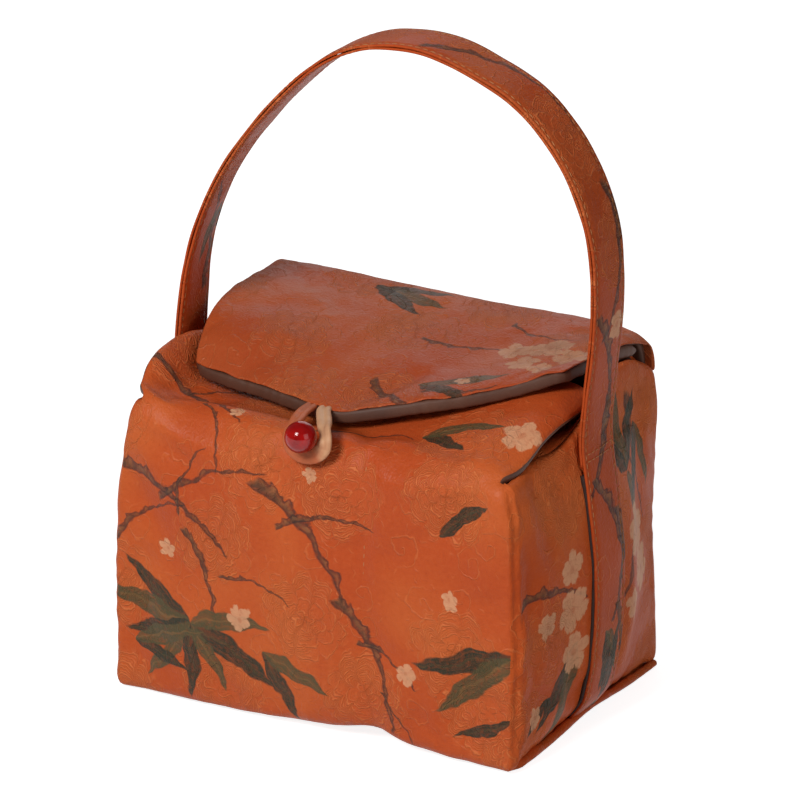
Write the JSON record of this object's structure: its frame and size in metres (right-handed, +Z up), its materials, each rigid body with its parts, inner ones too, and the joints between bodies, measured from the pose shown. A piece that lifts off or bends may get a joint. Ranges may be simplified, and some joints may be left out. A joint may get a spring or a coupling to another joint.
{
  "type": "tea set storage bag",
  "caption": "Padded fabric box bag for a tea set, with a pointed lid closed by a loop and bead, inner flaps and a carrying strap.",
  "frame": {"origin": "middle of the base, on the surface that the bag stands on", "axes": "+X to the right seen from the front, +Y to the back, +Z up; the front with the bead faces -Y"},
  "size_m": [0.2038, 0.1483, 0.2779],
  "materials": {
    "outer_cloth": "rust-orange satin jacquard with a soft sheen",
    "lining": "plain brown lining cloth",
    "padding": "pale sheet wadding",
    "webbing": "stiff woven interlining",
    "board": "plain stiff board",
    "bead": "polished deep red",
    "thread": "twisted thread"
  },
  "bodies": {
    "bag": {"front_panel": "outer_cloth", "right_panel": "outer_cloth", "back_panel": "outer_cloth", "left_panel": "outer_cloth", "base_panel": "outer_cloth", "base_piping": "outer_cloth", "left_strap_tail": "outer_cloth", "right_strap_tail": "outer_cloth", "front_padding": "padding", "right_padding": "padding", "back_padding": "padding", "left_padding": "padding", "base_padding": "padding", "front_lining": "lining", "right_lining": "lining", "back_lining": "lining", "left_lining": "lining", "base_lining": "lining", "base_board": "board", "bead": "bead", "bead_shank": "thread"},
    "lid": {"lid_cover": "outer_cloth", "lid_padding": "padding", "lid_lining": "lining"},
    "front_flap": {"front_flap_cover": "outer_cloth", "front_flap_padding": "padding", "front_flap_lining": "lining"},
    "left_dust_flap": {"left_dust_flap_cover": "outer_cloth", "left_dust_flap_lining": "lining"},
    "right_dust_flap": {"right_dust_flap_cover": "outer_cloth", "right_dust_flap_lining": "lining"},
    "handle": {"handle_face": "outer_cloth", "handle_core": "webbing", "handle_back": "outer_cloth"},
    "closing_loop": {"closing_loop": "outer_cloth"}
  },
  "joints": [
    {"name": "lid_hinge", "type": "hinge", "parent": "bag", "child": "lid", "pos_m": [0, 0.0659, 0.1475], "axis": [-1, 0, 0], "range_deg": [0, 250], "deforming": ["closing_loop"]},
    {"name": "front_flap_hinge", "type": "hinge", "parent": "bag", "child": "front_flap", "pos_m": [0, -0.0655, 0.1268], "axis": [1, 0, 0], "range_deg": [0, 90]},
    {"name": "left_dust_flap_hinge", "type": "hinge", "parent": "bag", "child": "left_dust_flap", "pos_m": [-0.092, 0, 0.12675], "axis": [0, -0.997, -0.0769], "range_deg": [0, 75]},
    {"name": "right_dust_flap_hinge", "type": "hinge", "parent": "bag", "child": "right_dust_flap", "pos_m": [0.092, 0, 0.12675], "axis": [0, 0.997, 0.0769], "range_deg": [0, 75]},
    {"name": "handle_tilt", "type": "hinge", "parent": "bag", "child": "handle", "pos_m": [0, 0, 0.125], "axis": [1, 0, 0], "range_deg": [-54, 34], "stiffness_Nm_per_rad": 0.06},
    {"name": "loop_lift", "type": "hinge", "parent": "lid", "child": "closing_loop", "pos_m": [0, -0.0465, 0.1302], "axis": [-1, 0, 0], "range_deg": [0, 80], "deforming": ["closing_loop"]}
  ],
  "couplings": [
    {"joint": "front_flap_hinge", "follows": "lid_hinge", "ratio": 0.36},
    {"joint": "left_dust_flap_hinge", "follows": "lid_hinge", "ratio": 0.3},
    {"joint": "right_dust_flap_hinge", "follows": "lid_hinge", "ratio": 0.3}
  ]
}
